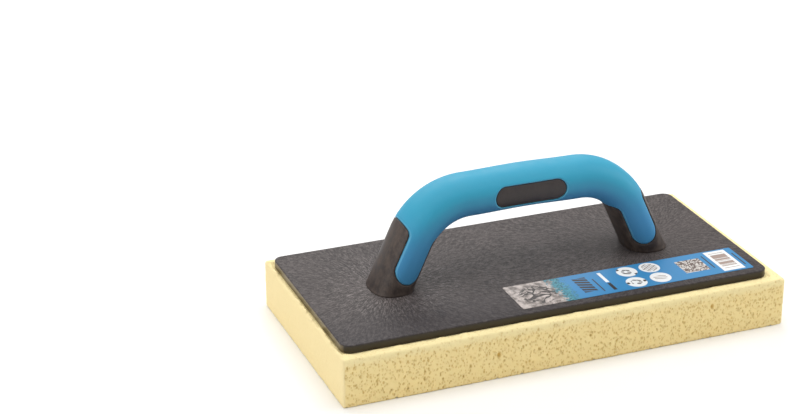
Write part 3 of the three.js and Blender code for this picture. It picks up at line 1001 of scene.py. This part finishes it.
def smooth_noise(x, y, z, size, seed):
    """Smooth noise from -1 to 1 with features of about that size."""
    wrap = 32
    table = np.random.default_rng(seed).uniform(-1, 1, (wrap, wrap, wrap))
    places = [np.asarray(v, float) / size for v in (x, y, z)]
    whole = [np.floor(p).astype(int) for p in places]
    part = [p - w for p, w in zip(places, whole)]
    part = [eased(p) for p in part]
    total = 0
    for i in (0, 1):
        for j in (0, 1):
            for k in (0, 1):
                weight = 1
                for step, share in zip((i, j, k), part):
                    weight = weight * (share if step else 1 - share)
                total = total + weight * table[tuple((w + s) % wrap for w, s in zip(whole, (i, j, k)))]
    return total


def rectangle_distance(x, y, low, high):
    """Distance to an upright rectangle, seen from above."""
    across = np.abs(x - (low[0] + high[0]) / 2) - (high[0] - low[0]) / 2
    along = np.abs(y - (low[1] + high[1]) / 2) - (high[1] - low[1]) / 2
    return np.maximum(across, along)


def rim_bulge(x, y):
    """How far the foam swells up beside the plate: lumpy close to it, most of all at its left end."""
    from_plate = rectangle_distance(x, y, PLATE_LOW, PLATE_HIGH)
    strength = LUMPS + LEFT_END_LUMPS * np.clip(PLATE_LOW[0] + LEFT_END_REACH - x, 0, 1)
    wide = 1.4 * smooth_noise(x, y, 0 * x, size=5, seed=3)
    fine = 0.8 * smooth_noise(x, y, 0 * x, size=2.2, seed=4)
    close = np.clip((RIM_FADE_END - from_plate) / (RIM_FADE_END - RIM_FADE_START), 0, 1)
    height = np.clip(RIM_HEIGHT + strength * (wide + fine) * close, *RIM_RANGE)
    return height * np.clip(from_plate - RIM_GAP, 0, 1)


def foam_top(x, y):
    """Height of the pad's top: pressed down under the sheets, and bulging a little round the plate."""
    outside_hollow = np.clip(rectangle_distance(x, y, LOOP_LOW, LOOP_HIGH) - HOLLOW_MARGIN, 0, 1)
    return PRESSED_TOP + (FOAM_TOP - PRESSED_TOP) * outside_hollow + rim_bulge(x, y)


def foam_block(x, y, z):
    """Distance to the pad without its pores."""
    sides = round_overlap(np.abs(x) - PAD_HIGH[0], np.abs(y) - PAD_HIGH[1], FOAM_SIDE_EDGE)
    block = round_overlap(sides, z - foam_top(x, y), FOAM_TOP_EDGE)
    return round_overlap(block, -z, FOAM_BOTTOM_EDGE)


def pored_faces():
    """The pores of each face, and what turns two shares from -1 to 1 and a depth into a place on it."""
    long, wide, high = PAD_HIGH[0], PAD_HIGH[1], FOAM_TOP
    return [
        (WORKING_FACE_PORES, lambda a, b, depth: (a * long, b * wide, depth)),
        (LONG_FACE_PORES, lambda a, b, depth: (a * long, -wide + depth, (b + 1) / 2 * high)),
        (LONG_FACE_PORES, lambda a, b, depth: (a * long, wide - depth, (b + 1) / 2 * high)),
        (END_FACE_PORES, lambda a, b, depth: (-long + depth, a * wide, (b + 1) / 2 * high)),
        (END_FACE_PORES, lambda a, b, depth: (long - depth, a * wide, (b + 1) / 2 * high)),
    ]


def foam_pores():
    """The pores as (x, y, z, radius, upright stretch), cut at random depths by the faces."""
    rng = np.random.default_rng(PORE_SEED)
    pores = []
    for (count, smallest, spread, large_share, stretch, shallowest), place in pored_faces():
        for _ in range(count):
            radius = smallest + spread * rng.random() ** 2
            if rng.random() < large_share:
                radius += LARGE_PORE_EXTRA * rng.random()
            depth = rng.uniform(shallowest, shallowest + PORE_DEPTH_SPREAD) * radius
            pores.append((*place(rng.uniform(-1, 1), rng.uniform(-1, 1), depth), radius, stretch))
    return pores


def cut_pores(field, low, cell, pores):
    """Takes each pore out of the field."""
    for *centre, radius, stretch in pores:
        half = radius * np.array([1, 1, stretch])
        first = np.maximum(np.floor((centre - half - low) / cell).astype(int), 0)
        last = np.minimum(np.ceil((centre + half - low) / cell).astype(int) + 1, field.shape)
        block = tuple(slice(a, b) for a, b in zip(first, last))
        steps = np.ogrid[block]
        offsets = [(s * cell + l - c) / h for s, l, c, h in zip(steps, low, centre, half)]
        reach = np.sqrt(sum(o ** 2 for o in offsets))
        field[block] = np.maximum(field[block], (1 - reach) * radius)


def roughened(points):
    """The pad's points with the slight unevenness of cut foam, except at its top and bottom."""
    x, y, z = points.T
    _, slope = gradient(foam_block, points)
    slope /= np.maximum(np.linalg.norm(slope, axis=1), TINY)[:, None]
    wide = UNEVENNESS * smooth_noise(x, y, z, size=9, seed=11)
    fine = UNEVENNESS * smooth_noise(x, y, z, size=2.5, seed=12)
    free = (z > FLAT_MARGIN) & (z < FOAM_TOP - FLAT_MARGIN)
    return points + slope * ((wide + fine) * free)[:, None]


def store_depth(mesh):
    """Tells the foam's material how deep each point lies in a pore, in millimetres."""
    places = np.empty(len(mesh.vertices) * 3, np.float32)
    mesh.vertices.foreach_get("co", places)
    places = places.reshape(-1, 3) / MM
    store(mesh, "pore_depth", np.maximum(-foam_block(*places.T), 0))


def add_foam():
    cell = FOAM_CELL
    margin = MARGIN_CELLS * cell
    low = np.array([PAD_LOW[0] - margin, PAD_LOW[1] - margin, -BELOW_CELLS * cell])
    high = np.array([PAD_HIGH[0] + margin, PAD_HIGH[1] + margin, FOAM_TOP + RIM_ROOM + margin])
    field = foam_block(*grid(low, high, cell))
    cut_pores(field, low, cell, foam_pores())
    points, faces = surface_net(field, low, cell)
    points = roughened(points)
    points[:, 2] = np.maximum(points[:, 2], 0)
    mesh = mesh_from("foam_pad", points, faces)
    mesh = thinned(mesh, FOAM_TRIANGLES)
    store_depth(mesh)
    pad = piece("foam_pad", mesh, foam_material(), "pad", "foam", "sponge_pad")


# ---------- hook sheet and loop cloth

HOOK_PITCH = 2.8
HOOK_SINK = 0.05
HOOK_MARGIN = 0.6
HOOK_END_MARGIN = 0.5
HOOK_SIDE_MARGIN = 0.3
HOOK_SIDES = 6
STEM_RADIUS = 0.28
HEAD_RADIUS = 0.55
HOOK_BACKING = 0.3
CLOTH_CELL = 0.9
CLOTH_WAVE = 0.22


def closed_sheet(x, y, lower, upper):
    """Points and quads of a closed slab on a grid, between two height fields."""
    rows, columns = lower.shape
    points = np.concatenate([np.stack([x, y, z], axis=-1).reshape(-1, 3) for z in (upper, lower)])
    top = np.arange(rows * columns).reshape(rows, columns)
    bottom = top + rows * columns

    def strip(a, b, c, d):
        return np.stack([a.ravel(), b.ravel(), c.ravel(), d.ravel()], axis=1)

    faces = [
        strip(top[:-1, :-1], top[1:, :-1], top[1:, 1:], top[:-1, 1:]),
        strip(bottom[:-1, :-1], bottom[:-1, 1:], bottom[1:, 1:], bottom[1:, :-1]),
        strip(top[:-1, 0], bottom[:-1, 0], bottom[1:, 0], top[1:, 0]),
        strip(top[:-1, -1], top[1:, -1], bottom[1:, -1], bottom[:-1, -1]),
        strip(top[0, :-1], top[0, 1:], bottom[0, 1:], bottom[0, :-1]),
        strip(top[-1, :-1], bottom[-1, :-1], bottom[-1, 1:], top[-1, 1:]),
    ]
    return points, np.concatenate(faces)


def add_loop_cloth():
    """A cloth with a tufted top, laid in the pad's hollow."""
    counts = [int((b - a) / CLOTH_CELL) + 1 for a, b in zip(LOOP_LOW[:2], LOOP_HIGH[:2])]
    lines = [np.linspace(a, b, n) for a, b, n in zip(LOOP_LOW, LOOP_HIGH, counts)]
    x, y = np.meshgrid(*lines, indexing="ij")
    fine = smooth_noise(x, y, 0 * x, size=1.5, seed=21) * 0.6
    wide = smooth_noise(x, y, 0 * x, size=4, seed=22) * 0.4
    upper = LOOP_HIGH[2] - CLOTH_WAVE * (1 - (fine + wide)) / 2
    points, faces = closed_sheet(x, y, LOOP_LOW[2] + 0 * x, upper)
    mesh = mesh_from("loop_cloth", points, faces)
    piece("loop_cloth", mesh, loop_material(), "pad", "loop_cloth", "loop_backing")


def hook_rings():
    """Radius and height of each ring down a mushroom-headed hook."""
    root, tip = HOOK_HIGH[2] - HOOK_BACKING, HOOK_LOW[2]
    length = root - tip
    return [
        (STEM_RADIUS * 1.3, root + HOOK_SINK),
        (STEM_RADIUS, root - 0.35 * length),
        (HEAD_RADIUS, root - 0.6 * length),
        (HEAD_RADIUS * 0.8, tip + 0.1 * length),
        (HEAD_RADIUS * 0.35, tip),
    ]


def one_hook():
    """Points and quads of a single hook about the origin."""
    turns = np.arange(HOOK_SIDES) * 2 * np.pi / HOOK_SIDES
    rings = [
        np.stack([r * np.cos(turns), -r * np.sin(turns), 0 * turns + z], axis=1) for r, z in hook_rings()
    ]
    points = np.concatenate(rings)
    around = np.arange(HOOK_SIDES)
    after = (around + 1) % HOOK_SIDES
    sides = [
        np.stack([around, after, after + HOOK_SIDES, around + HOOK_SIDES], axis=1) + ring * HOOK_SIDES
        for ring in range(len(rings) - 1)
    ]
    caps = []
    for first, turn in ((0, -1), (len(points) - HOOK_SIDES, 1)):
        loop = around[::turn] + first
        caps += [[loop[0], loop[1], loop[2], loop[3]], [loop[0], loop[3], loop[4], loop[5]]]
    return points, np.concatenate([*sides, np.array(caps)])


def hook_centres(low, high):
    """Where the hooks stand: in rows, each shifted by half a pitch from the one before."""
    pitch = HOOK_PITCH
    starts = [a + HEAD_RADIUS + HOOK_MARGIN for a in low[:2]]
    ends = [b - HEAD_RADIUS - HOOK_END_MARGIN for b in high[:2]]
    x, y = np.meshgrid(*[np.arange(a, b, pitch) for a, b in zip(starts, ends)], indexing="ij")
    y = y + pitch / 2 * (np.arange(y.shape[0])[:, None] % 2)
    keep = y < high[1] - HEAD_RADIUS - HOOK_SIDE_MARGIN
    return np.stack([x[keep], y[keep], 0 * x[keep]], axis=1)


def add_hook_sheet():
    """A thin backing with rows of mushroom-headed hooks under it."""
    low, high = HOOK_LOW, HOOK_HIGH
    x, y = np.meshgrid([low[0], high[0]], [low[1], high[1]], indexing="ij")
    backing, backing_faces = closed_sheet(x, y, high[2] - HOOK_BACKING + 0 * x, high[2] + 0 * x)
    hook, hook_faces = one_hook()
    centres = hook_centres(low, high)
    points = (centres[:, None, :] + hook[None, :, :]).reshape(-1, 3)
    shifts = np.arange(len(centres))[:, None, None] * len(hook)
    faces = (hook_faces[None, :, :] + shifts).reshape(-1, 4)
    all_points = np.concatenate([backing, points])
    all_faces = np.concatenate([backing_faces, faces + len(backing)])
    mesh = mesh_from("hook_strip", all_points, all_faces)
    mesh.polygons.foreach_set("use_smooth", np.zeros(len(mesh.polygons), bool))
    piece("hook_strip", mesh, hook_material(), "float", "hook_plastic", "hook_sheet")


# ---------- carried-over CAD nodes

def dress(node, material):
    """Gives a CAD node a material."""
    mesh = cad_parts[node].data
    mesh.materials.clear()
    mesh.materials.append(material)


def dress_nodes():
    """Materials for the CAD nodes that are shown as they are."""
    dress("base_plate", plate_material())
    dress("label", film_material())
    steel = screw_material()
    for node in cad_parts:
        if node.startswith("screw_"):
            dress(node, steel)


add_camera()
add_studio()
dress_nodes()
add_foam()
add_loop_cloth()
add_hook_sheet()
add_handle()
